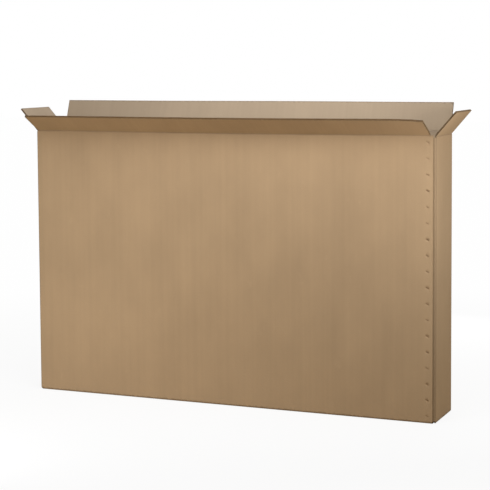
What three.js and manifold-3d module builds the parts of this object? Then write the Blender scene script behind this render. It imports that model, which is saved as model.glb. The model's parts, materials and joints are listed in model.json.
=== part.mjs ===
// Bicycle shipping box: a tall, narrow slotted carton in double-wall corrugated board.
//
// One sheet of board goes round the four sides. It ends in a tab that lies inside the front panel,
// and a row of wire stitches holds the two layers together. Each side carries a flap at its foot,
// folded in and taped along the seam, and a flap at its top, which stands open.
//
// Millimetres, +Z up, front towards -Y. The origin is the middle of the underside, on the floor.

import * as THREE from "three";
import { mergeVertices } from "three/addons/utils/BufferGeometryUtils.js";
import Module from "manifold-3d";

// Inside sizes, which are how a carton is ordered
const insideLength = 1890;
const insideWidth = 250;
const insideHeight = 1190;

// Board
const board = 7;
const layerGap = 0.4; // air between two layers of board that lie on each other
const foldRadius = 6; // outside of a fold
const foldInside = 1; // inside of a fold
const seamGap = 2; // between two flaps that meet in the middle
const slotInset = 6; // from the box's end to the end of a long flap
const jointSetback = 12; // from the front panel's cut edge to the end of its top flap
const flapPlay = 0.8; // beside a short flap, where it goes in between the long panels
const slotDepth = 3; // how far a slot runs past the crease of the short flaps

// Top creases
const creasePlay = 0.15; // from the hinge line to either edge
const creaseSlope = 1.04; // rise over depth of the crushed edge, just over 45 degrees
const lip = 2; // rounding where the crushed edge meets the inside face

// How far each top flap leans out from upright, in degrees
const frontFlapLean = 61;
const backFlapLean = 20;
const leftFlapLean = 42;
const rightFlapLean = 41;

// Stitched joint
const tabWidth = 45;
const tabTaper = 8; // each end of the tab narrows by this much
const tabSetback = 2; // from the folded flaps to the ends of the tab
const rawEdgeInset = 12; // from the end panel's face to the front panel's cut edge
const stitchCount = 18;
const stitchEnd = 32; // first stitch to the top crease, last stitch to the floor
const stitchFromEdge = 23; // from the front panel's cut edge
const stitchTilt = 28; // degrees, falling to the right
const crown = 16;
const wireWidth = 2.4;
const wireThick = 0.6;
const wireBend = 1;
const wirePlay = 0.3;
const clinchGap = 2; // between the two bent-over tips
const dimpleDepth = 1.5;
const dimpleFloor = 9.5; // radius of the flat pressed in under a crown
const dimpleRim = 16;

// Tape along the bottom seam
const tapeWidth = 50;
const tapeThick = 0.25;

// Levels and half sizes that follow
const halfLength = insideLength / 2 + board;
const halfWidth = insideWidth / 2 + board;
const longFlapFloor = tapeThick;
const shortFlapFloor = longFlapFloor + board + layerGap;
const insideFloor = shortFlapFloor + board;
const insideTop = insideFloor + insideHeight;
const shortHinge = insideTop + board;
const longHinge = shortHinge + layerGap + board;
const foot = insideFloor + slotDepth; // lower end of the vertical folds
const head = insideTop - slotDepth; // and their upper end
const flapLength = halfWidth - seamGap / 2;
const longFlapEnd = halfLength - slotInset;
const shortFlapEnd = halfWidth - board - flapPlay;
const tabFace = -halfWidth + board + layerGap;
const rawEdge = halfLength - rawEdgeInset;
const tabEdge = rawEdge - tabWidth;
const stitchX = rawEdge - stitchFromEdge;

const colours = { liner: 0xb0926c, inner: 0xb8a486, wire: 0xc9c4b8, tape: 0xa37a48 };
const cardboard = new THREE.MeshStandardMaterial({ color: colours.liner, roughness: 0.92 });
const flapBoard = new THREE.MeshStandardMaterial({ color: colours.inner, roughness: 0.92 });
const steel = new THREE.MeshStandardMaterial({ color: colours.wire, roughness: 0.35, metalness: 1 });
const paperTape = new THREE.MeshStandardMaterial({ color: colours.tape, roughness: 0.6 });

const wasm = await Module();
wasm.setup();

// Axes for a section: its x, its y, and the way it is extruded
const ALONG_X = [new THREE.Vector3(0, 1, 0), new THREE.Vector3(0, 0, 1), new THREE.Vector3(1, 0, 0)];
const ALONG_Y = [new THREE.Vector3(0, 0, 1), new THREE.Vector3(1, 0, 0), new THREE.Vector3(0, 1, 0)];
const ALONG_Z = [new THREE.Vector3(1, 0, 0), new THREE.Vector3(0, 1, 0), new THREE.Vector3(0, 0, 1)];

function toSolid(geometry) {
  const bare = geometry.clone();
  bare.deleteAttribute("normal");
  bare.deleteAttribute("uv");
  const merged = mergeVertices(bare, 1e-4);
  return new wasm.Manifold(
    new wasm.Mesh({
      numProp: 3,
      vertProperties: new Float32Array(merged.attributes.position.array),
      triVerts: new Uint32Array(merged.index.array),
    }),
  );
}

function toGeometry(solid) {
  const mesh = solid.getMesh();
  return new THREE.BufferGeometry()
    .setAttribute("position", new THREE.BufferAttribute(mesh.vertProperties, 3))
    .setIndex(new THREE.BufferAttribute(mesh.triVerts, 1));
}

// A section extruded from one station to another along an axis.
function extrude(shape, from, to, axes) {
  const geometry = new THREE.ExtrudeGeometry(shape, {
    depth: to - from,
    bevelEnabled: false,
    curveSegments: 4,
  });
  geometry.translate(0, 0, from);
  return geometry.applyMatrix4(new THREE.Matrix4().makeBasis(...axes));
}

const polygon = (points) => new THREE.Shape(points.map(([x, y]) => new THREE.Vector2(x, y)));

// The section of a sheet folded along corners. The points run along its outer face, and every fold
// turns the same way; side is 1 where the sheet's thickness lies to the right of them, -1 to the left.
function foldedSheet(points, thickness, outerRadius, innerRadius, side = 1) {
  const at = points.map(([x, y]) => new THREE.Vector2(x, y));
  const way = at.slice(1).map((p, i) => p.clone().sub(at[i]).normalize());
  const inwards = way.map((w) => new THREE.Vector2(w.y, -w.x).multiplyScalar(side));
  const shape = new THREE.Shape();
  const last = at.length - 1;
  const roundCorner = (corner, before, after, radius) => {
    const start = corner.clone().addScaledVector(before, -radius);
    const end = corner.clone().addScaledVector(after, radius);
    const centre = start.clone().add(end).sub(corner);
    const startAngle = Math.atan2(start.y - centre.y, start.x - centre.x);
    const endAngle = Math.atan2(end.y - centre.y, end.x - centre.x);
    const turn = before.x * after.y - before.y * after.x;
    shape.lineTo(start.x, start.y);
    shape.absarc(centre.x, centre.y, radius, startAngle, endAngle, turn < 0);
  };
  shape.moveTo(at[0].x, at[0].y);
  for (let i = 1; i < last; i++) roundCorner(at[i], way[i - 1], way[i], outerRadius);
  shape.lineTo(at[last].x, at[last].y);
  const innerEnd = at[last].clone().addScaledVector(inwards[last - 1], thickness);
  shape.lineTo(innerEnd.x, innerEnd.y);
  for (let i = last - 1; i > 0; i--) {
    const corner = at[i]
      .clone()
      .addScaledVector(inwards[i - 1], thickness)
      .addScaledVector(inwards[i], thickness);
    roundCorner(corner, way[i].clone().negate(), way[i - 1].clone().negate(), innerRadius);
  }
  const innerStart = at[0].clone().addScaledVector(inwards[0], thickness);
  shape.lineTo(innerStart.x, innerStart.y);
  shape.closePath();
  return shape;
}

// The crushed edge at a top crease, as [depth from the outer face, distance from the hinge line].
function creaseEdge() {
  const edge = (depth) => creasePlay + depth * creaseSlope;
  const rounding = new THREE.QuadraticBezierCurve(
    new THREE.Vector2(board - lip, edge(board - lip)),
    new THREE.Vector2(board, edge(board)),
    new THREE.Vector2(board, edge(board) + lip),
  );
  return [[0, edge(0)], ...rounding.getPoints(3).map((p) => [p.x, p.y])];
}

// Cuts the top of a panel to its crushed edge. outward is -1 or 1, the way its outer face looks.
function creaseCutter(face, outward, hinge) {
  const clear = 2;
  const edge = creaseEdge().map(([depth, drop]) => [face - outward * depth, hinge - drop]);
  return [
    [face + outward * clear, hinge + clear],
    [face + outward * clear, edge[0][1]],
    ...edge,
    [face - outward * (board + clear), edge[edge.length - 1][1]],
    [face - outward * (board + clear), hinge + clear],
  ];
}

const swap = (points) => points.map(([x, y]) => [y, x]);

// The front or back panel with its bottom flap: one section, from the top crease to the seam.
function longPanel(outward, from, to) {
  const face = outward * halfWidth;
  const section = foldedSheet(
    [
      [face, longHinge],
      [face, longFlapFloor],
      [(outward * seamGap) / 2, longFlapFloor],
    ],
    board,
    foldRadius,
    foldInside,
    outward,
  );
  const cutter = polygon(creaseCutter(face, outward, longHinge));
  return toSolid(extrude(section, from, to, ALONG_X)).subtract(
    toSolid(extrude(cutter, from - 1, to + 1, ALONG_X)),
  );
}

// An end panel with its bottom flap, which lies on top of the long flaps.
function endPanel(outward) {
  const face = outward * halfLength;
  const section = foldedSheet(
    swap([
      [face, shortHinge],
      [face, shortFlapFloor],
      [outward * (halfLength - flapLength), shortFlapFloor],
    ]),
    board,
    foldRadius,
    foldInside,
    -outward,
  );
  const cutter = polygon(swap(creaseCutter(face, outward, shortHinge)));
  return toSolid(extrude(section, -shortFlapEnd, shortFlapEnd, ALONG_Y)).subtract(
    toSolid(extrude(cutter, -halfWidth, halfWidth, ALONG_Y)),
  );
}

// The sheet round the four sides in plan, from the front panel's cut edge to the tab's free edge.
function wallStrip() {
  const plan = foldedSheet(
    [
      [rawEdge, -halfWidth],
      [-halfLength, -halfWidth],
      [-halfLength, halfWidth],
      [halfLength, halfWidth],
      [halfLength, tabFace],
      [tabEdge, tabFace],
    ],
    board,
    foldRadius,
    foldInside,
  );
  return toSolid(extrude(plan, foot, head, ALONG_Z)).subtract(tabTrim(head, 1)).subtract(tabTrim(foot, -1));
}

// Takes a slanting piece off one end of the tab, so that it clears the flaps as they fold in.
function tabTrim(level, up) {
  const free = [tabEdge - 1, level - up * (tabSetback + tabTaper)];
  const root = [rawEdge, level - up * tabSetback];
  const past = level + up;
  const wedge = polygon(swap([free, root, [root[0], past], [free[0], past]]));
  const inFront = layerGap / 2; // the front panel just outside the tab stays whole
  return toSolid(extrude(wedge, tabFace - inFront, tabFace + board + 1, ALONG_Y));
}

const stitchStations = Array.from(
  { length: stitchCount },
  (_, i) => longHinge - stitchEnd - (i * (longHinge - 2 * stitchEnd)) / (stitchCount - 1),
);
const jointDepth = tabFace + board + halfWidth; // through the front panel and the tab

// Places something made round a stitch's own centre: x along the crown, y into the box.
function atStitch(geometry, z) {
  return geometry.rotateY(THREE.MathUtils.degToRad(stitchTilt)).translate(stitchX, -halfWidth, z);
}

// The hollow that a stitch pulls into the face of the board, as a cutter. into is 1 from the outside.
function dimple(into) {
  const steps = 3;
  const profile = [new THREE.Vector2(0, dimpleDepth), new THREE.Vector2(dimpleFloor, dimpleDepth)];
  for (let i = 1; i <= steps; i++) {
    const share = i / steps;
    const radius = dimpleFloor + (dimpleRim - dimpleFloor) * share;
    profile.push(new THREE.Vector2(radius, (dimpleDepth * (1 + Math.cos(Math.PI * share))) / 2));
  }
  profile.push(new THREE.Vector2(dimpleRim, -1), new THREE.Vector2(0, -1));
  const geometry = new THREE.LatheGeometry(profile.reverse(), 16);
  return into > 0 ? geometry : geometry.rotateX(Math.PI).translate(0, jointDepth, 0);
}

// The slit that one leg goes through.
function legSlit(side) {
  const legCentre = side * (crown / 2 - wireThick / 2);
  return new THREE.BoxGeometry(wireThick + 2 * wirePlay, jointDepth * 2, wireWidth + 2 * wirePlay).translate(
    legCentre,
    jointDepth / 2,
    0,
  );
}

function carton() {
  const ends = [
    longPanel(-1, -longFlapEnd, rawEdge),
    longPanel(1, -longFlapEnd, longFlapEnd),
    endPanel(-1),
    endPanel(1),
  ].reduce((sum, part) => sum.add(part));
  const past = 1.5; // the cutter is wider than the box by this share
  const plan = [
    [-past * halfLength, -past * halfWidth],
    [past * halfLength, -past * halfWidth],
    [past * halfLength, past * halfWidth],
    [-past * halfLength, past * halfWidth],
  ];
  const between = extrude(polygon(plan), foot, head, ALONG_Z);
  let body = ends.subtract(toSolid(between)).add(wallStrip());
  for (const z of stitchStations) {
    for (const cutter of [dimple(1), dimple(-1), legSlit(-1), legSlit(1)])
      body = body.subtract(toSolid(atStitch(cutter, z)));
  }
  return new THREE.Mesh(toGeometry(body), cardboard);
}

// One wire stitch: a flat wire with its crown outside, and both legs bent over inside the tab.
function stitch(z) {
  const outside = dimpleDepth - wirePlay - wireThick;
  const inside = jointDepth - outside;
  const section = foldedSheet(
    [
      [clinchGap / 2, inside],
      [crown / 2, inside],
      [crown / 2, outside],
      [-crown / 2, outside],
      [-crown / 2, inside],
      [-clinchGap / 2, inside],
    ],
    wireThick,
    wireBend,
    wireBend - wireThick,
  );
  return new THREE.Mesh(atStitch(extrude(section, -wireWidth / 2, wireWidth / 2, ALONG_Z), z), steel);
}

// A top flap upright on its hinge line: the section stands in y and z, and runs along x.
// Its outer face looks towards -Y, and the pivot is the group that a lean is given to.
function topFlap(name, from, to) {
  const section = polygon([...creaseEdge(), [board, flapLength], [0, flapLength]]);
  const mesh = new THREE.Mesh(extrude(section, from, to, ALONG_X), flapBoard);
  mesh.name = name;
  const pivot = new THREE.Group();
  pivot.add(mesh);
  return pivot;
}

// Stands a flap on its hinge line, its outer face turned to the side it belongs to, and leans it out.
// Seen from outside its own side, the flap runs from left to right.
function hangFlap(name, [left, right], turn, reach, hinge, lean) {
  const pivot = topFlap(name, left, right);
  pivot.rotation.x = THREE.MathUtils.degToRad(lean);
  pivot.position.set(0, -reach, hinge);
  const facing = new THREE.Group();
  facing.rotation.z = THREE.MathUtils.degToRad(turn);
  facing.add(pivot);
  return facing;
}

function bottomTape() {
  const strip = new THREE.BoxGeometry(2 * longFlapEnd, tapeWidth, tapeThick);
  return new THREE.Mesh(strip.translate(0, 0, tapeThick / 2), paperTape);
}

const box = new THREE.Group();
const shortSpan = [-shortFlapEnd, shortFlapEnd];

const body = carton();
body.name = "carton";
box.add(body);

const tape = bottomTape();
tape.name = "bottom_tape";
box.add(tape);

stitchStations.forEach((z, i) => {
  const mesh = stitch(z);
  mesh.name = `stitch_${String(i + 1).padStart(2, "0")}`;
  box.add(mesh);
});

box.add(
  hangFlap("front_flap", [-longFlapEnd, rawEdge - jointSetback], 0, halfWidth, longHinge, frontFlapLean),
  hangFlap("right_flap", shortSpan, 90, halfLength, shortHinge, rightFlapLean),
  hangFlap("back_flap", [-longFlapEnd, longFlapEnd], 180, halfWidth, longHinge, backFlapLean),
  hangFlap("left_flap", shortSpan, -90, halfLength, shortHinge, leftFlapLean),
);

export default box;
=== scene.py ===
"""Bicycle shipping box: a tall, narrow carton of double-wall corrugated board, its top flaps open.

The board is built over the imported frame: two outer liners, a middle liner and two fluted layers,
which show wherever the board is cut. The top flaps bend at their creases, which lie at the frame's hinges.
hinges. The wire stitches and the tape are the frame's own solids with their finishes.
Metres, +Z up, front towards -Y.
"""

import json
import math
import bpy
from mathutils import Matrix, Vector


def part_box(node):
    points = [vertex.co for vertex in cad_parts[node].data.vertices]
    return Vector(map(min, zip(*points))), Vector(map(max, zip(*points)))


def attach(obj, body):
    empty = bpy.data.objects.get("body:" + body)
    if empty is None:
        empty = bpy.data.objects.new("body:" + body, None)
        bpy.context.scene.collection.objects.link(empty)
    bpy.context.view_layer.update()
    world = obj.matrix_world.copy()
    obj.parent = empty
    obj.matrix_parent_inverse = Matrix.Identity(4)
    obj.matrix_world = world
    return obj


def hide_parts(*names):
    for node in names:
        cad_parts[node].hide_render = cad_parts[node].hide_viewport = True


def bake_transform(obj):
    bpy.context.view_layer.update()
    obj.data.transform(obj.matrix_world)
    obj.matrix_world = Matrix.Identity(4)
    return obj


bl_info = {
    "name": "Bicycle Shipping Box",
    "version": (1, 0, 0),
    "blender": (4, 5, 0),
    "location": "3D View > Sidebar > Shipping Box",
    "description": "Builds a double-wall bicycle carton over its packed frame",
    "category": "Object",
}

import bmesh
import bpy
import numpy as np
from mathutils import Euler, Matrix, Vector

MM = 0.001
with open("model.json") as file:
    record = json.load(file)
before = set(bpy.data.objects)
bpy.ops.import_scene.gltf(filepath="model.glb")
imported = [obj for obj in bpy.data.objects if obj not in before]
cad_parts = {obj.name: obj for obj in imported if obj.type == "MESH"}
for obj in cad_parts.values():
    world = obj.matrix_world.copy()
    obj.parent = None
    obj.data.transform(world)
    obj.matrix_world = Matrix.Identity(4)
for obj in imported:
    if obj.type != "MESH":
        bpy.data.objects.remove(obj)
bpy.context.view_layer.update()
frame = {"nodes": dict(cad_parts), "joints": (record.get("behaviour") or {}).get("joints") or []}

# Sizes and levels of the frame, which the board is laid over
carton_low, carton_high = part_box("carton")
tape_low, tape_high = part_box("bottom_tape")
HALF_LENGTH = carton_high.x
HALF_WIDTH = carton_high.y
FLOOR_OF_BOARD = carton_low.z
hinges = {joint["child"]: joint["pos_m"] for joint in frame["joints"]}
LONG_HINGE = hinges["front_flap"][2]
SHORT_HINGE = hinges["right_flap"][2]
STITCHES = sorted(name for name in frame["nodes"] if name.startswith("stitch_"))

# How far a score line is crushed on each side, and darkened there, partly with painted shade
SCORE_REACH = 3.5 * MM
# Longest step between two stations along a wall, and along a flap
WALL_STEP = 75 * MM
FLAP_STEP = 50 * MM


class BoardSettings(bpy.types.PropertyGroup):
    """The sheet of corrugated board"""

    thickness: bpy.props.FloatProperty(
        name="Board", description="Thickness of the board", default=7 * MM, unit="LENGTH"
    )
    liner: bpy.props.FloatProperty(
        name="Liner", description="Thickness of each flat layer of paper", default=0.4 * MM, unit="LENGTH"
    )
    outer_flute: bpy.props.FloatProperty(
        name="Outer flute", description="Height of the fluted layer next to the outside",
        default=3.5 * MM, unit="LENGTH",
    )
    outer_pitch: bpy.props.FloatProperty(
        name="Outer flute pitch", description="Distance from one outer flute to the next",
        default=7.6 * MM, unit="LENGTH",
    )
    inner_pitch: bpy.props.FloatProperty(
        name="Inner flute pitch", description="Distance from one inner flute to the next",
        default=6.3 * MM, unit="LENGTH",
    )
    liner_lip: bpy.props.FloatProperty(
        name="Liner lip", description="How far the liners stand past the hollow of a cut edge",
        default=1.2 * MM, unit="LENGTH",
    )
    layer_gap: bpy.props.FloatProperty(
        name="Layer gap", description="Between two boards that lie on each other",
        default=0.4 * MM, unit="LENGTH",
    )
    inside_radius: bpy.props.FloatProperty(
        name="Inside radius", description="Radius of the inner liner at a fold", default=1 * MM, unit="LENGTH"
    )
    flute_reach: bpy.props.FloatProperty(
        name="Flute depth shown", description="How far into a cut edge the flutes are modelled",
        default=6 * MM, unit="LENGTH",
    )
    fold_radius: bpy.props.FloatProperty(
        name="Fold radius", description="Outside radius of a fold", default=8 * MM, unit="LENGTH"
    )
    flap_length: bpy.props.FloatProperty(
        name="Flap length", description="From the crease to the free edge",
        default=HALF_WIDTH - 1 * MM, unit="LENGTH",
    )
    long_end: bpy.props.FloatProperty(
        name="Long flap end", description="From the middle of the box to the end of a long flap",
        default=HALF_LENGTH - 6 * MM, unit="LENGTH",
    )
    short_end: bpy.props.FloatProperty(
        name="Short flap end", description="From the middle of the box to the side of a short flap",
        default=HALF_WIDTH - 7.8 * MM, unit="LENGTH",
    )
    raw_edge: bpy.props.FloatProperty(
        name="Front panel's cut edge", description="From the middle of the box",
        default=HALF_LENGTH - 12 * MM, unit="LENGTH",
    )
    tab_width: bpy.props.FloatProperty(
        name="Tab", description="Width of the tab inside the front panel", default=45 * MM, unit="LENGTH"
    )
    front_setback: bpy.props.FloatProperty(
        name="Front flap setback", description="From the front panel's cut edge to the end of its flap",
        default=12 * MM, unit="LENGTH",
    )
    crease_reach: bpy.props.FloatProperty(
        name="Crease", description="From the crease line to where the board is flat again",
        default=5 * MM, unit="LENGTH",
    )


class ShapeSettings(bpy.types.PropertyGroup):
    """How the flaps stand and how far handling has moved the board"""

    front_lean: bpy.props.FloatProperty(
        name="Front flap", description="Lean outwards from upright", default=math.radians(61), subtype="ANGLE"
    )
    back_lean: bpy.props.FloatProperty(
        name="Back flap", description="Lean outwards from upright", default=math.radians(20), subtype="ANGLE"
    )
    left_lean: bpy.props.FloatProperty(
        name="Left flap", description="Lean outwards from upright", default=math.radians(42), subtype="ANGLE"
    )
    right_lean: bpy.props.FloatProperty(
        name="Right flap", description="Lean outwards from upright", default=math.radians(41), subtype="ANGLE"
    )
    sag: bpy.props.FloatProperty(
        name="Sag", description="How far the front crease drops in the middle", default=7 * MM, unit="LENGTH"
    )
    drop: bpy.props.FloatProperty(
        name="Drop", description="How far the front crease has settled at its ends",
        default=4 * MM, unit="LENGTH",
    )
    bow: bpy.props.FloatProperty(
        name="Bow", description="How far the long panels swell in the middle", default=3 * MM, unit="LENGTH"
    )
    curl: bpy.props.FloatProperty(
        name="Curl", description="How far the front flap's free corner droops", default=5 * MM, unit="LENGTH"
    )
    dimple: bpy.props.FloatProperty(
        name="Dimple", description="How deep a stitch pulls the board in", default=3 * MM, unit="LENGTH"
    )


class FinishSettings(bpy.types.PropertyGroup):
    """Colours, as sRGB hex"""

    outer_liner: bpy.props.StringProperty(
        name="Outer liner", description="Kraft paper outside", default="#B49979"
    )
    inner_liner: bpy.props.StringProperty(
        name="Inner liner", description="Recycled liner inside", default="#B19E87"
    )
    medium: bpy.props.StringProperty(
        name="Fluted paper", description="Paper of the flutes, seen at cut edges", default="#9A7D59"
    )
    wire: bpy.props.StringProperty(name="Wire", description="Copper-washed stitching wire", default="#A08468")
    tape: bpy.props.StringProperty(name="Tape", description="Gummed kraft tape", default="#A67C4A")
    backdrop: bpy.props.StringProperty(
        name="Backdrop", description="Floor as the camera sees it", default="#FFFFFF"
    )
    bounce: bpy.props.StringProperty(
        name="Bounce", description="Floor as it lights the box from below", default="#B5A076"
    )


class StageSettings(bpy.types.PropertyGroup):
    """Camera and lamps"""

    lens: bpy.props.FloatProperty(name="Lens", description="Focal length", default=110.04, unit="CAMERA")
    sensor: bpy.props.FloatProperty(
        name="Sensor", description="Width of the sensor", default=36, unit="CAMERA"
    )
    shift: bpy.props.FloatProperty(
        name="Shift", description="Camera shift, as a share of the frame", default=-0.15
    )
    camera: bpy.props.FloatVectorProperty(
        name="Camera", description="Where the camera stands", default=(2.6258, -6.146, 1.5288), subtype="XYZ"
    )
    yaw: bpy.props.FloatProperty(
        name="Yaw", description="Turn to the left from straight ahead", default=math.radians(22.832),
        subtype="ANGLE",
    )
    pitch: bpy.props.FloatProperty(
        name="Pitch", description="Look down from level", default=math.radians(4.236), subtype="ANGLE"
    )
    roll: bpy.props.FloatProperty(
        name="Roll", description="Tilt of the camera", default=math.radians(-0.374), subtype="ANGLE"
    )
    key: bpy.props.FloatProperty(
        name="Key", description="Power of the overhead soft box", default=22.2, unit="POWER"
    )
    left: bpy.props.FloatProperty(
        name="Left", description="Power of the low left soft box", default=8.9, unit="POWER"
    )
    right: bpy.props.FloatProperty(
        name="Right", description="Power of the right soft box", default=8.9, unit="POWER"
    )
    back: bpy.props.FloatProperty(
        name="Back", description="Power of the soft box behind", default=21.0, unit="POWER"
    )
    surround: bpy.props.FloatProperty(
        name="Surround", description="Brightness of the room as the object sees it", default=0.43
    )


def linear(hex_colour):
    """An sRGB hex colour as linear RGBA."""
    levels = [int(hex_colour[i : i + 2], 16) / 255 for i in (1, 3, 5)]
    return [c / 12.92 if c <= 0.04045 else ((c + 0.055) / 1.055) ** 2.4 for c in levels] + [1.0]


def add(tree, kind, links=None, **settings):
    """Adds a node to a tree. links holds values or other nodes' sockets, by input name or number."""
    node = tree.nodes.new(kind)
    for key, value in settings.items():
        setattr(node, key, value)
    for key, value in (links or {}).items():
        if isinstance(value, bpy.types.NodeSocket):
            tree.links.new(value, node.inputs[key])
        else:
            node.inputs[key].default_value = value
    return node


def remap(tree, value, low, high, new_low, new_high):
    """A node that takes a socket's values from one range to another and holds them inside it."""
    return add(tree, "ShaderNodeMapRange", {"Value": value, 1: low, 2: high, 3: new_low, 4: new_high})


def new_material(name):
    """An empty material, its node tree, and its output node."""
    material = bpy.data.materials.new(name)
    material.use_nodes = True
    material.node_tree.nodes.clear()
    output = add(material.node_tree, "ShaderNodeOutputMaterial")
    return material, material.node_tree, output


def stretched(tree, across, along):
    """Board coordinates in units of a pattern's size, given in metres across and along the flutes."""
    board = add(tree, "ShaderNodeUVMap", uv_map="board")
    return add(
        tree, "ShaderNodeVectorMath", {0: board.outputs[0], 1: (1 / across, 1 / along, 1.0)},
        operation="MULTIPLY",
    ).outputs[0]


def kraft(name, colour, roughness, cloudiness):
    """Machine-made linerboard: a matt web of long brown fibres, glued over flutes that show through."""
    material, tree, output = new_material(name)
    base = linear(colour)
    # Cloudiness of the pulp, from patches a hand wide
    cloud = add(
        tree, "ShaderNodeTexNoise", {"Vector": stretched(tree, 0.16, 0.3), "Scale": 1.0, "Detail": 5.0}
    )
    cloud_tone = remap(tree, cloud.outputs[0], 0.3, 0.7, 1 - cloudiness, 1 + cloudiness)
    # Streaks where the liner sinks between flutes. They are 8 mm apart, and drawn about 20 mm wide to show.
    streak = add(
        tree, "ShaderNodeTexNoise", {"Vector": stretched(tree, 0.02, 1.6), "Scale": 1.0, "Detail": 3.0}
    )
    streak_tone = remap(tree, streak.outputs[0], 0.3, 0.7, 0.98, 1.02)
    # Fibres, about 2 mm long and drawn thicker than they are
    fibre = add(
        tree, "ShaderNodeTexNoise", {"Vector": stretched(tree, 0.0012, 0.004), "Scale": 1.0, "Detail": 4.0}
    )
    fibre_tone = remap(tree, fibre.outputs[0], 0.25, 0.75, 0.93, 1.07)
    tone = add(
        tree, "ShaderNodeMath", {0: cloud_tone.outputs[0], 1: streak_tone.outputs[0]}, operation="MULTIPLY"
    )
    tone = add(tree, "ShaderNodeMath", {0: tone.outputs[0], 1: fibre_tone.outputs[0]}, operation="MULTIPLY")
    # Rubbed marks from handling, paler than the paper
    rub = add(
        tree, "ShaderNodeTexNoise",
        {"Vector": stretched(tree, 0.05, 0.11), "Scale": 1.0, "Detail": 8.0, "Roughness": 0.75},
    )
    rub_mask = remap(tree, rub.outputs[0], 0.6, 0.78, 0.0, 0.35)
    toned = add(
        tree, "ShaderNodeVectorMath", {0: base[:3], "Scale": tone.outputs[0]}, operation="SCALE"
    )
    pale = [min(1.0, c * 1.25 + 0.02) for c in base[:3]] + [1.0]
    colour_mix = add(
        tree, "ShaderNodeMix", {0: rub_mask.outputs[0], 6: toned.outputs[0], 7: pale}, data_type="RGBA"
    )
    # Crushed and soiled along cut edges and where the box rubs on the floor
    edge = add(tree, "ShaderNodeUVMap", uv_map="edge")
    distance = add(tree, "ShaderNodeSeparateXYZ", {0: edge.outputs[0]})
    crumple = add(
        tree, "ShaderNodeTexNoise", {"Vector": stretched(tree, 0.012, 0.016), "Scale": 1.0, "Detail": 5.0}
    )
    ragged = remap(tree, crumple.outputs[0], 0.35, 0.7, 1 * MM, 11 * MM)
    darkened_band = remap(tree, distance.outputs[0], 0.0, ragged.outputs[0], 0.75, 0.0)
    # Scored lines, where the liner is pressed: their darkening is partly the crushed liner and partly painted
    # shade of the crease, and at the stitched joint a painted shadow beside the cut edge
    scored_shade = remap(tree, distance.outputs[1], 0.0, SCORE_REACH, 0.5, 0.0)
    # The darkened band is the stronger of the edge wear and the painted shade of the score lines
    darkened_band = add(
        tree, "ShaderNodeMath", {0: darkened_band.outputs[0], 1: scored_shade.outputs[0]}, operation="MAXIMUM"
    )
    # Half the paper's colour, used for the soil of the edges and for the painted shade of the score lines
    soiled_and_shaded = [c * 0.5 for c in base[:3]] + [1.0]
    colour_mix = add(
        tree, "ShaderNodeMix", {0: darkened_band.outputs[0], 6: colour_mix.outputs[2], 7: soiled_and_shaded}, data_type="RGBA"
    )
    # Washboarding over the flutes and the tooth of the paper. A wave texture repeats every tenth of pi.
    pitch, wave_repeat = 7.6 * MM, math.pi / 10
    flutes = add(
        tree, "ShaderNodeTexWave",
        {"Vector": stretched(tree, pitch / wave_repeat, 10.0), "Scale": 1.0,
         "Distortion": 0.4, "Detail": 1.0},
        wave_type="BANDS", bands_direction="X",
    )
    washboard = add(
        tree, "ShaderNodeBump", {"Strength": 0.35, "Distance": 0.25 * MM, "Height": flutes.outputs[1]}
    )
    streaks = add(
        tree, "ShaderNodeBump",
        {"Strength": 0.5, "Distance": 0.6 * MM, "Height": streak.outputs[0], "Normal": washboard.outputs[0]},
    )
    tooth = add(
        tree, "ShaderNodeBump",
        {"Strength": 0.25, "Distance": 0.12 * MM, "Height": fibre.outputs[0], "Normal": streaks.outputs[0]},
    )
    shader = add(
        tree, "ShaderNodeBsdfPrincipled",
        {"Base Color": colour_mix.outputs[2], "Roughness": roughness, "IOR": 1.45,
         "Specular IOR Level": 0.25, "Normal": tooth.outputs[0]},
    )
    tree.links.new(shader.outputs[0], output.inputs[0])
    return material


def cut_board(name, colour, settings):
    """Board cut by a slotting blade along the flutes: three pale liners, with painted shade for the hollows
    between them.
    """
    material, tree, output = new_material(name)
    base = linear(colour)
    board = add(tree, "ShaderNodeUVMap", uv_map="board")
    depth = add(tree, "ShaderNodeSeparateXYZ", {0: board.outputs[0]})
    middle = settings.liner + settings.outer_flute
    ramp = add(tree, "ShaderNodeValToRGB", {0: 0.0})
    scaled = add(
        tree, "ShaderNodeMath", {0: depth.outputs[1], 1: 1 / settings.thickness}, operation="MULTIPLY"
    )
    tree.links.new(scaled.outputs[0], ramp.inputs[0])
    stops = [0, settings.liner, middle, middle + settings.liner, settings.thickness - settings.liner]
    # The hollows between the liners are painted shade, a third of the paper's colour
    dark = [c * 0.32 for c in base[:3]] + [1.0]
    pale = [c * 0.8 for c in base[:3]] + [1.0]
    ramp.color_ramp.interpolation = "CONSTANT"
    while len(ramp.color_ramp.elements) < len(stops):
        ramp.color_ramp.elements.new(0.5)
    for element, stop, tone in zip(ramp.color_ramp.elements, stops, [pale, dark, pale, dark, pale]):
        element.position = stop / settings.thickness
        element.color = tone
    shader = add(
        tree, "ShaderNodeBsdfPrincipled",
        {"Base Color": ramp.outputs[0], "Roughness": 0.95, "Specular IOR Level": 0.1},
    )
    tree.links.new(shader.outputs[0], output.inputs[0])
    return material


def fluting(name, colour):
    """Fluting medium: thin recycled paper pressed into waves, darker and rougher than the liners."""
    material, tree, output = new_material(name)
    base = linear(colour)
    grain = add(
        tree, "ShaderNodeTexNoise", {"Vector": stretched(tree, 0.003, 0.003), "Scale": 1.0, "Detail": 3.0}
    )
    tone = remap(tree, grain.outputs[0], 0.3, 0.7, 0.85, 1.1)
    toned = add(tree, "ShaderNodeVectorMath", {0: base[:3], "Scale": tone.outputs[0]}, operation="SCALE")
    shader = add(
        tree, "ShaderNodeBsdfPrincipled",
        {"Base Color": toned.outputs[0], "Roughness": 0.95, "Specular IOR Level": 0.1},
    )
    tree.links.new(shader.outputs[0], output.inputs[0])
    return material


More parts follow.
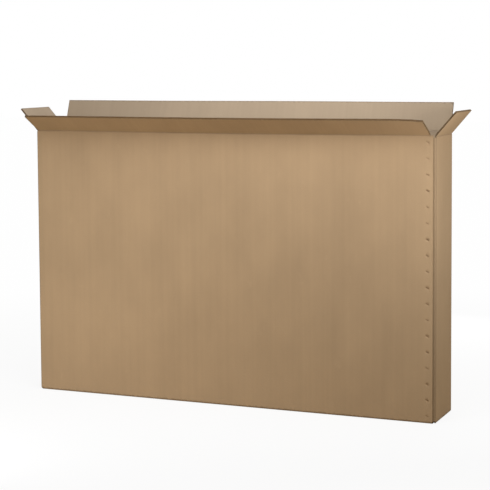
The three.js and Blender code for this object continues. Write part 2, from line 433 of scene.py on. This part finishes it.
def copper_washed_wire(name, colour):
    """Copper-washed steel wire, rolled flat: a thin dull brown plating with faint marks along the wire."""
    material, tree, output = new_material(name)
    place = add(tree, "ShaderNodeTexCoord")
    marks = add(
        tree, "ShaderNodeTexNoise", {"Vector": place.outputs["Object"], "Scale": 900.0, "Detail": 3.0}
    )
    rough = remap(tree, marks.outputs[0], 0.3, 0.7, 0.28, 0.45)
    bump = add(
        tree, "ShaderNodeBump", {"Strength": 0.15, "Distance": 0.05 * MM, "Height": marks.outputs[0]}
    )
    shader = add(
        tree, "ShaderNodeBsdfPrincipled",
        {"Base Color": linear(colour), "Metallic": 1.0, "Roughness": rough.outputs[0],
         "Normal": bump.outputs[0]},
    )
    tree.links.new(shader.outputs[0], output.inputs[0])
    return material


def gummed_tape(name, colour):
    """Gummed kraft paper tape: smooth machine-glazed paper, stuck flat with a slight shine."""
    material, tree, output = new_material(name)
    place = add(tree, "ShaderNodeTexCoord")
    fine = add(
        tree, "ShaderNodeTexNoise", {"Vector": place.outputs["Object"], "Scale": 500.0, "Detail": 4.0}
    )
    tone = remap(tree, fine.outputs[0], 0.3, 0.7, 0.93, 1.05)
    toned = add(
        tree, "ShaderNodeVectorMath", {0: linear(colour)[:3], "Scale": tone.outputs[0]}, operation="SCALE"
    )
    shader = add(
        tree, "ShaderNodeBsdfPrincipled",
        {"Base Color": toned.outputs[0], "Roughness": 0.42, "IOR": 1.45},
    )
    tree.links.new(shader.outputs[0], output.inputs[0])
    return material


def backdrop_paper(name, colour, bounce_colour):
    """Seamless paper: the camera sees it near white, and it throws little light back at the box."""
    material, tree, output = new_material(name)
    ray = add(tree, "ShaderNodeLightPath")
    seen = add(tree, "ShaderNodeBsdfDiffuse", {"Color": linear(colour)})
    glow = add(tree, "ShaderNodeEmission", {"Color": linear(colour), "Strength": 1.0})
    # Near the box the paper takes its shadow, and further off it is evenly white
    place = add(tree, "ShaderNodeTexCoord")
    distance = add(tree, "ShaderNodeVectorMath", {0: place.outputs["Object"]}, operation="LENGTH")
    share = remap(tree, distance.outputs["Value"], 1.0, 3.5, 0.89, 0.99)
    lit = add(tree, "ShaderNodeMixShader", {0: share.outputs[0], 1: seen.outputs[0], 2: glow.outputs[0]})
    bounce = add(tree, "ShaderNodeBsdfDiffuse", {"Color": linear(bounce_colour)})
    mixed = add(
        tree, "ShaderNodeMixShader",
        {0: ray.outputs["Is Camera Ray"], 1: bounce.outputs[0], 2: lit.outputs[0]},
    )
    tree.links.new(mixed.outputs[0], output.inputs[0])
    return material


OUTER, INNER, CUT, FLUTE = range(4)


def board_materials(scene):
    """The finishes of the board, in the order of the numbers above."""
    names = ("kraft linerboard", "recycled liner", "cut corrugated board", "fluting medium")
    if names[0] not in bpy.data.materials:
        finish, settings = scene.finish, scene.board
        kraft(names[0], finish.outer_liner, 0.82, 0.05)
        kraft(names[1], finish.inner_liner, 0.88, 0.04)
        cut_board(names[2], finish.medium, settings)
        fluting(names[3], finish.medium)
    return [bpy.data.materials[name] for name in names]


class Board:
    """Collects slabs of board, with a material and board coordinates on every face."""

    def __init__(self):
        self.points, self.faces, self.materials, self.coordinates, self.margins = [], [], [], [], []

    def slab(self, us, vs, near, far, place, finishes=(OUTER, INNER, CUT), solid=None, margin=None):
        """A closed slab over a grid. near and far are its depths, as numbers or one value for each u.

        margin gives how far a place on the sheet is from the nearest edge that wears, and from its crease,
        which is darkened with painted shade.
        """
        nu, nv = len(us), len(vs)
        solid = np.ones((nu - 1, nv - 1), bool) if solid is None else solid
        grid_u, grid_v = np.meshgrid(us, vs, indexing="ij")
        first = sum(len(p) for p in self.points)
        for depth in (near, far):
            depths = np.broadcast_to(np.reshape(depth, (-1, 1)), (nu, nv))
            self.points.append(place(grid_u, grid_v, depths).reshape(-1, 3))
        ends = [np.broadcast_to(depth, nu) for depth in (near, far)]

        def vertex(i, j, side):
            return first + side * nu * nv + i * nv + j

        def face(corners, finish, coordinates, places):
            self.faces.append(corners)
            self.materials.append(finish)
            self.coordinates.extend(coordinates)
            self.margins.extend(margin(*place) if margin else (1, 1) for place in places)

        for i in range(nu - 1):
            for j in range(nv - 1):
                if not solid[i, j]:
                    continue
                corners = [(i, j), (i + 1, j), (i + 1, j + 1), (i, j + 1)]
                flat = [(us[a], vs[b]) for a, b in corners]
                face([vertex(a, b, 0) for a, b in corners], finishes[0], flat, flat)
                face([vertex(a, b, 1) for a, b in reversed(corners)], finishes[1], flat[::-1], flat[::-1])
                for k, (di, dj) in enumerate([(0, -1), (1, 0), (0, 1), (-1, 0)]):
                    ni, nj = i + di, j + dj
                    if 0 <= ni < nu - 1 and 0 <= nj < nv - 1 and solid[ni, nj]:
                        continue
                    (a, b), (c, d) = corners[k], corners[(k + 1) % 4]
                    along = (us[a], us[c]) if dj else (vs[b], vs[d])
                    face(
                        [vertex(a, b, 0), vertex(a, b, 1), vertex(c, d, 1), vertex(c, d, 0)],
                        finishes[2],
                        [(along[0], ends[0][a]), (along[0], ends[1][a]),
                         (along[1], ends[1][c]), (along[1], ends[0][c])],
                        [(us[a], vs[b])] * 2 + [(us[c], vs[d])] * 2,
                    )

    def build(self, name, materials):
        """The collected slabs as an object in the scene."""
        mesh = bpy.data.meshes.new(name)
        mesh.from_pydata(np.concatenate(self.points).tolist(), [], self.faces)
        layer = mesh.uv_layers.new(name="board")
        layer.data.foreach_set("uv", np.array(self.coordinates, float).ravel())
        layer = mesh.uv_layers.new(name="edge")
        layer.data.foreach_set("uv", np.array(self.margins, float).ravel())
        mesh.polygons.foreach_set("material_index", self.materials)
        for material in materials:
            mesh.materials.append(material)
        edit = bmesh.new()
        edit.from_mesh(mesh)
        bmesh.ops.delete(edit, geom=[v for v in edit.verts if not v.link_faces], context="VERTS")
        bmesh.ops.recalc_face_normals(edit, faces=edit.faces)
        edit.to_mesh(mesh)
        edit.free()
        mesh.shade_smooth()
        mesh.set_sharp_from_angle(angle=math.radians(35))
        piece = bpy.data.objects.new(name, mesh)
        bpy.context.scene.collection.objects.link(piece)
        return piece


def smooth_step(x):
    """Zero below 0, one above 1, and a smooth rise between."""
    x = np.clip(x, 0, 1)
    return x * x * (3 - 2 * x)


def middle_share(x, end):
    """One in the middle of a panel, falling smoothly to nothing at its ends."""
    return np.clip(1 - (x / end) ** 2, 0, 1) ** 1.5


def front_shift(x, z, shape):
    """How the front panel has settled, as (y, z): it bows out and its top crease sags."""
    share = middle_share(x, 0.9 * HALF_LENGTH)
    height = np.clip(z / LONG_HINGE, 0, 1)
    swell = shape.bow * share * np.sin(math.pi * height * 0.72)
    return -swell, -(shape.drop + (shape.sag - shape.drop) * share) * height**6


def back_shift(x, z, shape):
    """The back panel bows out a little less, and keeps its crease straight."""
    share = middle_share(x, 0.9 * HALF_LENGTH)
    height = np.clip(z / LONG_HINGE, 0, 1)
    return 0.6 * shape.bow * share * np.sin(math.pi * height), np.zeros_like(z)


def wall_columns(settings):
    """Stations round the box in plan, from the front panel's cut edge to the free edge of the tab.

    Returns the outline points, their inward normals, the distance round, and each station's side.
    """
    radius = settings.fold_radius
    tab_face = -HALF_WIDTH + settings.thickness + settings.layer_gap
    tab_edge = settings.raw_edge - settings.tab_width
    corners = np.array([
        (settings.raw_edge - settings.liner_lip, -HALF_WIDTH), (-HALF_LENGTH, -HALF_WIDTH),
        (-HALF_LENGTH, HALF_WIDTH), (HALF_LENGTH, HALF_WIDTH), (HALF_LENGTH, tab_face), (tab_edge, tab_face),
    ])
    stitch_low, stitch_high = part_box(STITCHES[0])
    stitch_x = (stitch_low.x + stitch_high.x) / 2
    near_stitch = stitch_x + np.array([-15, -12, -9.5, -7, -4.5, -2, 0, 2, 4.5, 7, 9.5, 12, 15]) * MM
    points, normals, sides = [], [], []
    for run in range(5):
        start, end = corners[run], corners[run + 1]
        way = (end - start) / np.linalg.norm(end - start)
        inward = np.array([way[1], -way[0]])
        first = start + way * (radius if run else 0)
        last = end - way * (radius if run < 4 else 0)
        count = max(2, int(np.linalg.norm(last - first) / WALL_STEP) + 1)
        stations = [first + (last - first) * k / count for k in range(count + 1)]
        if run in (0, 4):
            fine = [np.array([x, first[1]]) for x in near_stitch]
            low, high = near_stitch[0] - 1 * MM, near_stitch[-1] + 1 * MM
            stations = [p for p in stations if not low < p[0] < high] + fine
            stations.sort(key=lambda p: float((p - first) @ way))
        for p in stations:
            points.append(p)
            normals.append(inward)
            sides.append(run)
        if run < 4:
            onward = corners[run + 2] - end
            onward = onward / np.linalg.norm(onward)
            centre = end - way * radius + onward * radius
            for k in range(1, 6):
                turn = math.pi / 2 * k / 6
                towards = -inward * math.cos(turn) + way * math.sin(turn)
                points.append(centre + towards * radius)
                normals.append(-towards)
                sides.append(-1)
    points, normals = np.array(points), np.array(normals)
    steps = np.linalg.norm(np.diff(points, axis=0), axis=1)
    return points, normals, np.concatenate([[0], np.cumsum(steps)]), np.array(sides)


def wall_rows(settings, floor, hinge, hangs):
    """Stations up one side, from its bottom flap's free edge to just under its top crease.

    Each row holds how far in from the side's face and how high the outer liner lies, then the same for
    the inner liner. The fold at the bottom of an end panel hangs down past the ends of the long flaps.
    """
    radius, thick = settings.fold_radius, settings.thickness
    foot, head = wall_foot(settings), wall_head(settings)
    bends = np.radians([72, 54, 36, 18, 0])
    if hangs:
        turns = np.radians([0, 45, 90, 135, 180])
        roll, hang, inset = 2.8 * MM, 2.1 * MM, 6.2 * MM
        fold = [(roll * (1 + math.cos(t)), -hang - roll * math.sin(t)) for t in turns]
    else:
        fold = [(radius * (1 - math.cos(t)), radius * (1 - math.sin(t))) for t in bends]
        inset = radius
    along_flap = (settings.flap_length, 90 * MM, 50 * MM, inset)
    rows = [(q, floor, max(q, radius), floor + thick) for q in along_flap]
    for (q, rise), turn in zip(fold, bends):
        inner_q = thick + settings.inside_radius * (1 - math.cos(turn))
        inner_rise = thick + settings.inside_radius * (1 - math.sin(turn))
        rows.append((q, floor + rise, inner_q, floor + inner_rise))
    levels = []
    for name in reversed(STITCHES):
        low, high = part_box(name)
        centre = (low.z + high.z) / 2
        levels += [centre + offset * MM for offset in (-12, -9, -6, -3, 0, 3, 6, 9, 12, 16)]
    crease = hinge - settings.crease_reach - 2 * MM
    top = min(head, crease - 1 * MM)
    below = SHORT_HINGE - settings.crease_reach - 6 * MM
    levels = [foot] + [z for z in levels if foot + 11 * MM < z < below] + [top, (top + crease) / 2, crease]
    rows += [(0.0, z, thick, max(z, floor + thick + 2 * MM)) for z in levels]
    return np.array(rows)


def wall_foot(settings):
    """Lower end of the upright folds."""
    return FLOOR_OF_BOARD + settings.thickness + 2 * MM


def wall_head(settings):
    """Upper end of the upright folds."""
    return SHORT_HINGE - 2.5 * MM


def on_front(x, z, depth):
    """A place on the front panel, as a point."""
    return np.stack([x, -HALF_WIDTH + depth, z], axis=-1)


def dimples(x, z):
    """How far the stitches pull the board in at points of the stitched joint, as a share of the depth."""
    length, width = 8 * MM, 5 * MM
    total = np.zeros_like(x)
    for number, name in enumerate(STITCHES):
        low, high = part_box(name)
        tilt = math.atan2(high.z - low.z, high.x - low.x) * (0.75 + 0.35 * math.sin(2.1 * number))
        pull = 0.8 + 0.35 * math.sin(4.3 * number + 1)
        dx, dz = x - (low.x + high.x) / 2, z - (low.z + high.z) / 2
        along = dx * math.cos(tilt) - dz * math.sin(tilt)
        across = dx * math.sin(tilt) + dz * math.cos(tilt)
        total = np.maximum(total, pull * np.exp(-((along / length) ** 4) - (across / width) ** 2))
    return total


class SHIPBOX_OT_walls(bpy.types.Operator):
    """Fold the four walls, the tab and the bottom flaps from one sheet"""

    bl_idname = "shipbox.walls"
    bl_label = "Walls and Bottom Flaps"

    def execute(self, context):
        settings, shape = context.scene.board, context.scene.shape
        points, normals, around, sides = wall_columns(settings)
        long_rows = wall_rows(settings, FLOOR_OF_BOARD, LONG_HINGE, False)
        short_floor = FLOOR_OF_BOARD + settings.thickness + settings.layer_gap
        short_rows = wall_rows(settings, short_floor, SHORT_HINGE, True)
        count = len(long_rows)
        foot_row = int(np.argmin(abs(long_rows[:, 1] - wall_foot(settings)) + (long_rows[:, 0] > 0)))
        head_row = count - 3
        is_long = np.isin(sides, (0, 2))
        rows = np.where(is_long[:, None, None], long_rows[None], short_rows[None])
        rows[np.ix_(sides == -1, [head_row], [1, 3])] = wall_head(settings)
        # Above and below the upright folds, the right panel is as wide as its flaps
        flap_row = np.ones(count, bool)
        flap_row[foot_row : head_row + 1] = False
        plan = np.repeat(points[:, None, :], count, axis=1)
        right = sides == 3
        span = points[right][:, 1]
        wide = np.interp(span, [span.min(), span.max()], [-settings.short_end, settings.short_end])
        plan[np.ix_(right, flap_row)] = np.stack(
            [np.full(wide.shape, HALF_LENGTH), wide], axis=1
        )[:, None, :]
        up = np.concatenate([[0], np.cumsum(np.hypot(*np.diff(long_rows[:, :2], axis=0).T))])

        def place(grid_u, grid_v, depth):
            share = depth / settings.thickness
            q = rows[:, :, 0] * (1 - share) + rows[:, :, 2] * share
            height = rows[:, :, 1] * (1 - share) + rows[:, :, 3] * share
            x, y = plan[:, :, 0], plan[:, :, 1]
            upright = rows[:, :, 0] < 1 * MM
            dent = np.zeros_like(x)
            joint = np.isin(sides, (0, 4))
            dent[joint] = dimples(x[joint], rows[joint, :, 1])
            outward = np.where((sides == 0)[:, None] & (depth[:, :1] < 0.5 * settings.thickness), 1, 0)
            inner = np.where((sides == 4)[:, None] & (depth[:, :1] > 0.5 * settings.thickness), -1, 0)
            into = q + shape.dimple * dent * (outward + inner)
            px = x + normals[:, None, 0] * into
            py = y + normals[:, None, 1] * into
            bow_y, sag_z = front_shift(px, height, shape)
            front = ((sides == 0)[:, None] & upright).astype(float)
            back_y, _ = back_shift(px, height, shape)
            back = ((sides == 2)[:, None] & upright).astype(float)
            return np.stack([px, py + front * bow_y + back * back_y, height + front * sag_z], axis=-1)

        solid = np.zeros((len(points) - 1, count - 1), bool)
        for i in range(len(points) - 1):
            flat_side = sides[i] if sides[i] == sides[i + 1] else -1
            if flat_side in (0, 1, 2, 3):
                solid[i, :] = True
            else:
                solid[i, foot_row:head_row] = True
        board = Board()
        fold = up[foot_row - 2]
        # The middle and half the width of each pressed line between two walls, the one at the joint last.
        # Their darkening is partly the crushed liner and partly painted shade.
        pressed = [(u, 2 * MM) for u in around[sides == -1][2::5]]
        # At the joint the band is widened and moved onto the tab: a painted shadow on the shoulder beside the
        # front panel's cut edge
        pressed[-1] = (pressed[-1][0] + 4 * MM, 10 * MM)

        def margin(u, v):
            return abs(v - fold), min(max(0, abs(u - middle) - half) for middle, half in pressed)

        board.slab(around, up, 0.0, settings.thickness, place, solid=solid, margin=margin)
        self.joint_corner(board, settings, shape)
        self.cut_edge_liners(board, settings, shape)
        walls = board.build("carton_board", board_materials(context.scene))
        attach(walls, "box")
        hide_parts("carton")
        return {"FINISHED"}

    def joint_corner(self, board, settings, shape):
        """Beside the end of the front flap, the panel stands up to the crease line with a bare edge."""
        edge, crease = settings.raw_edge, LONG_HINGE - settings.crease_reach - 2 * MM
        board.slab(
            np.array([edge - settings.front_setback, edge - settings.liner_lip]),
            np.array([crease, LONG_HINGE - 1 * MM]) - shape.drop, 0.0, settings.thickness, on_front,
        )

    def cut_edge_liners(self, board, settings, shape):
        """The three liners stand proud of the hollow edge where the front panel is cut."""
        edge, bottom = settings.raw_edge, FLOOR_OF_BOARD + settings.fold_radius
        top = LONG_HINGE - 1 * MM - shape.drop
        middle = settings.liner + settings.outer_flute
        for near in (0.0, middle, settings.thickness - settings.liner):
            board.slab(
                np.array([edge - settings.liner_lip, edge]), np.linspace(bottom, top, 12),
                near, near + settings.liner, on_front, finishes=(OUTER, INNER, FLUTE),
            )


def flap_board(context, name, body, ends, lean, hinge, side_way, out_way, settle):
    """One top flap, built flat and bent at its crease to the way it stands.

    side_way is the direction of the crease from left to right, out_way faces out of the box, and settle
    gives how far the board has moved at a distance along the crease and up from it.
    """
    settings = context.scene.board
    reach, length = settings.crease_reach, settings.flap_length
    hinge, side_way, out_way, up_way = (np.array(v, float) for v in (hinge, side_way, out_way, (0, 0, 1)))

    def place(u, s, depth):
        """Crease distance, height above the hinge line and depth of board to a point."""
        crush = np.exp(-((s / SCORE_REACH) ** 2))
        depth = 0.3 * MM * crush + depth * (1 - 0.35 * crush)
        turn = lean * smooth_step((s + 1.4 * reach) / (2 * reach))
        rise = s * np.cos(turn) + depth * np.sin(turn)
        out = s * np.sin(turn) - depth * np.cos(turn)
        where = hinge + u[..., None] * side_way + rise[..., None] * up_way + out[..., None] * out_way
        return where + settle(u, s, turn)

    left, right = ends
    columns = np.linspace(left, right, max(8, int((right - left) / FLAP_STEP)))
    # Stations beside the edges, where the wear ends
    darkened_band = 12 * MM
    columns = np.sort(np.concatenate([columns, [left + darkened_band, right - darkened_band]]))
    crease = np.array([-7, -5, -4, -3, -2, -1, 0, 1, 2, 3, 4, 5, 7, 10]) * MM
    rows = np.concatenate([crease, np.linspace(20 * MM, length - darkened_band, 8), [length]])
    middle = settings.liner + settings.outer_flute
    inner = settings.thickness - settings.liner
    board = Board()

    # How far from the cut edges, which wear, and from the crease, which takes painted shade
    def margin(u, s):
        return min(u - left, right - u, length - s), abs(s + 0.5 * reach)

    board.slab(columns, rows, 0.0, settings.liner, place, finishes=(OUTER, FLUTE, OUTER), margin=margin)
    board.slab(columns, rows, middle, middle + settings.liner, place, finishes=(FLUTE, FLUTE, OUTER))
    board.slab(
        columns, rows, inner, settings.thickness, place, finishes=(FLUTE, INNER, INNER), margin=margin
    )
    lip = settings.liner_lip
    core = np.concatenate([columns[:1] + lip, columns[1:-1], columns[-1:] - lip])
    core_rows = np.append(rows[rows < length - settings.flute_reach], length - settings.flute_reach)
    board.slab(core, core_rows, settings.liner, inner, place, finishes=(FLUTE, FLUTE, CUT))
    clear = 0.2 * MM
    tip = np.array([length - settings.flute_reach - 0.5 * MM, length - clear])
    for pitch, low, high in (
        (settings.outer_pitch, settings.liner, middle),
        (settings.inner_pitch, middle + settings.liner, inner),
    ):
        waves = round((right - left) / pitch)
        along = np.linspace(left + clear, right - clear, waves * 8 + 1)
        paper = 0.25 * MM
        swing = (high - low - paper) / 2
        ride = (low + high) / 2 + swing * np.sin(2 * math.pi * waves * (along - left) / (right - left))
        board.slab(along, tip, ride - paper / 2, ride + paper / 2, place, finishes=(FLUTE, FLUTE, FLUTE))
    piece = board.build(name, board_materials(context.scene))
    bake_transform(piece)
    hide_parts(body)
    return piece


class SHIPBOX_OT_long_flaps(bpy.types.Operator):
    """Hang the front and back flaps on the long creases"""

    bl_idname = "shipbox.long_flaps"
    bl_label = "Front and Back Flaps"

    def execute(self, context):
        settings, shape = context.scene.board, context.scene.shape

        def front_settle(u, s, turn):
            """The crease sags, the free edge hardly does, and the free corner at the right curls down."""
            bow_y, sag_z = front_shift(u, np.full_like(u, LONG_HINGE), shape)
            outwards = np.clip(s / settings.flap_length, 0, 1)
            fade = 1 - 0.35 * outwards
            curl_start, curl_run = 0.82, 0.1
            droop = shape.curl * np.clip((u - curl_start) / curl_run, 0, 1) ** 2 * outwards**2
            return np.stack(
                [0 * u, bow_y * fade - droop * np.cos(turn), sag_z * fade - droop * np.sin(turn)], axis=-1
            )

        def back_settle(u, s, turn):
            """A slow wave runs along the free edge."""
            wave = 1.5 * MM * np.sin(5.1 * u + 0.6) * np.clip(s / settings.flap_length, 0, 1) ** 2
            return np.stack([0 * u, -wave * np.cos(turn), wave * np.sin(turn)], axis=-1)

        flap_board(
            context, "front_flap_board", "front_flap",
            (-settings.long_end, settings.raw_edge - settings.front_setback),
            shape.front_lean, (0, -HALF_WIDTH, LONG_HINGE), (1, 0, 0), (0, -1, 0), front_settle,
        )
        flap_board(
            context, "back_flap_board", "back_flap", (-settings.long_end, settings.long_end),
            shape.back_lean, (0, HALF_WIDTH, LONG_HINGE), (1, 0, 0), (0, 1, 0), back_settle,
        )
        return {"FINISHED"}


class SHIPBOX_OT_short_flaps(bpy.types.Operator):
    """Hang the end flaps on the short creases"""

    bl_idname = "shipbox.short_flaps"
    bl_label = "End Flaps"

    def execute(self, context):
        settings, shape = context.scene.board, context.scene.shape
        ends = (-settings.short_end, settings.short_end)

        def settle(u, s, turn):
            return np.zeros(u.shape + (3,))

        flap_board(
            context, "left_flap_board", "left_flap", ends, shape.left_lean,
            (-HALF_LENGTH, 0, SHORT_HINGE), (0, 1, 0), (-1, 0, 0), settle,
        )
        flap_board(
            context, "right_flap_board", "right_flap", ends, shape.right_lean,
            (HALF_LENGTH, 0, SHORT_HINGE), (0, 1, 0), (1, 0, 0), settle,
        )
        return {"FINISHED"}


class SHIPBOX_OT_stitches(bpy.types.Operator):
    """Finish the wire stitches up the joint"""

    bl_idname = "shipbox.stitches"
    bl_label = "Wire Stitches"

    def execute(self, context):
        wire = copper_washed_wire("copper-washed stitching wire", context.scene.finish.wire)
        for name in STITCHES:
            node = frame["nodes"][name]
            node.data.materials.clear()
            node.data.materials.append(wire)
        return {"FINISHED"}


class SHIPBOX_OT_tape(bpy.types.Operator):
    """Finish the tape along the bottom seam"""

    bl_idname = "shipbox.tape"
    bl_label = "Bottom Tape"

    def execute(self, context):
        tape = gummed_tape("gummed kraft tape", context.scene.finish.tape)
        node = frame["nodes"]["bottom_tape"]
        node.data.materials.clear()
        node.data.materials.append(tape)
        return {"FINISHED"}


class SHIPBOX_OT_stage(bpy.types.Operator):
    """Set up the floor, the soft boxes and the camera"""

    bl_idname = "shipbox.stage"
    bl_label = "Stage"

    def execute(self, context):
        stage, finish = context.scene.stage, context.scene.finish
        bpy.ops.mesh.primitive_plane_add(size=60, location=(0, 0, 0))
        floor = context.object
        floor.name = "floor"
        floor.data.materials.append(backdrop_paper("seamless paper", finish.backdrop, finish.bounce))
        self.soft_box("overhead soft box", (0.41, -1.03, 2.17), (-0.73, 0.29, 1.72), 1.2, stage.key)
        self.soft_box("left soft box", (-0.93, -1.57, 0.4), (-0.79, -0.22, 0.06), 1.0, stage.left)
        self.soft_box("right soft box", (1.73, -0.67, 1.07), (HALF_LENGTH, 0.28, 1.47), 0.7, stage.right)
        self.soft_box("back soft box", (0.2, 2.4, 1.1), (0, 0.13, 0.65), 1.8, stage.back)
        self.surround(stage)
        self.camera(stage)
        context.scene.view_settings.view_transform = "Standard"
        return {"FINISHED"}

    def soft_box(self, name, where, target, size, power):
        """A square diffused lamp that looks at a point."""
        lamp = bpy.data.lights.new(name, "AREA")
        lamp.size, lamp.energy = size, power
        holder = bpy.data.objects.new(name, lamp)
        holder.location = where
        holder.rotation_euler = (Vector(target) - Vector(where)).to_track_quat("-Z", "Y").to_euler()
        bpy.context.scene.collection.objects.link(holder)

    def surround(self, stage):
        """White to the camera and to glossy surfaces, and a soft even grey as light."""
        world = bpy.data.worlds.new("studio")
        bpy.context.scene.world = world
        world.use_nodes = True
        tree = world.node_tree
        tree.nodes.clear()
        ray = add(tree, "ShaderNodeLightPath")
        direct = add(
            tree, "ShaderNodeMath", {0: ray.outputs["Is Camera Ray"], 1: ray.outputs["Is Glossy Ray"]},
            operation="MAXIMUM",
        )
        soft = add(tree, "ShaderNodeBackground", {"Color": (1, 1, 1, 1), "Strength": stage.surround})
        white = add(tree, "ShaderNodeBackground", {"Color": (1, 1, 1, 1), "Strength": 1.0})
        mixed = add(
            tree, "ShaderNodeMixShader", {0: direct.outputs[0], 1: soft.outputs[0], 2: white.outputs[0]}
        )
        output = add(tree, "ShaderNodeOutputWorld")
        tree.links.new(mixed.outputs[0], output.inputs[0])

    def camera(self, stage):
        """The photograph's viewing angle."""
        data = bpy.data.cameras.new("camera")
        data.lens, data.sensor_width, data.shift_y = stage.lens, stage.sensor, stage.shift
        data.clip_start, data.clip_end = 0.1, 100
        camera = bpy.data.objects.new("camera", data)
        aim = Euler((math.pi / 2 - stage.pitch, 0, stage.yaw)).to_matrix()
        turn = aim @ Matrix.Rotation(stage.roll, 3, "Z")
        camera.matrix_world = Matrix.Translation(stage.camera) @ turn.to_4x4()
        bpy.context.scene.collection.objects.link(camera)
        bpy.context.scene.camera = camera


class SHIPBOX_PT_panel(bpy.types.Panel):
    """Settings and steps of the shipping box"""

    bl_idname = "SHIPBOX_PT_panel"
    bl_label = "Bicycle Shipping Box"
    bl_space_type = "VIEW_3D"
    bl_region_type = "UI"
    bl_category = "Shipping Box"

    def draw(self, context):
        for group, heading in (
            ("board", "Board"), ("shape", "Shape"), ("finish", "Finish"), ("stage", "Stage")
        ):
            settings = getattr(context.scene, group)
            box = self.layout.box()
            box.label(text=heading)
            for key in settings.__annotations__:
                box.prop(settings, key)
        for operator in OPERATORS:
            self.layout.operator(operator.bl_idname)


GROUPS = {"board": BoardSettings, "shape": ShapeSettings, "finish": FinishSettings, "stage": StageSettings}
OPERATORS = (
    SHIPBOX_OT_walls, SHIPBOX_OT_long_flaps, SHIPBOX_OT_short_flaps, SHIPBOX_OT_stitches, SHIPBOX_OT_tape,
    SHIPBOX_OT_stage,
)
CLASSES = (*GROUPS.values(), *OPERATORS, SHIPBOX_PT_panel)


def register():
    """Make the settings, the operators and the panel known to Blender."""
    for cls in CLASSES:
        bpy.utils.register_class(cls)
    for name, cls in GROUPS.items():
        setattr(bpy.types.Scene, name, bpy.props.PointerProperty(type=cls))


def unregister():
    """Take them out again."""
    for name in GROUPS:
        delattr(bpy.types.Scene, name)
    for cls in reversed(CLASSES):
        bpy.utils.unregister_class(cls)


def main():
    """Build the box and the stage."""
    register()
    bpy.ops.shipbox.walls()
    bpy.ops.shipbox.long_flaps()
    bpy.ops.shipbox.short_flaps()
    bpy.ops.shipbox.stitches()
    bpy.ops.shipbox.tape()
    bpy.ops.shipbox.stage()


if __name__ == "__main__":
    main()
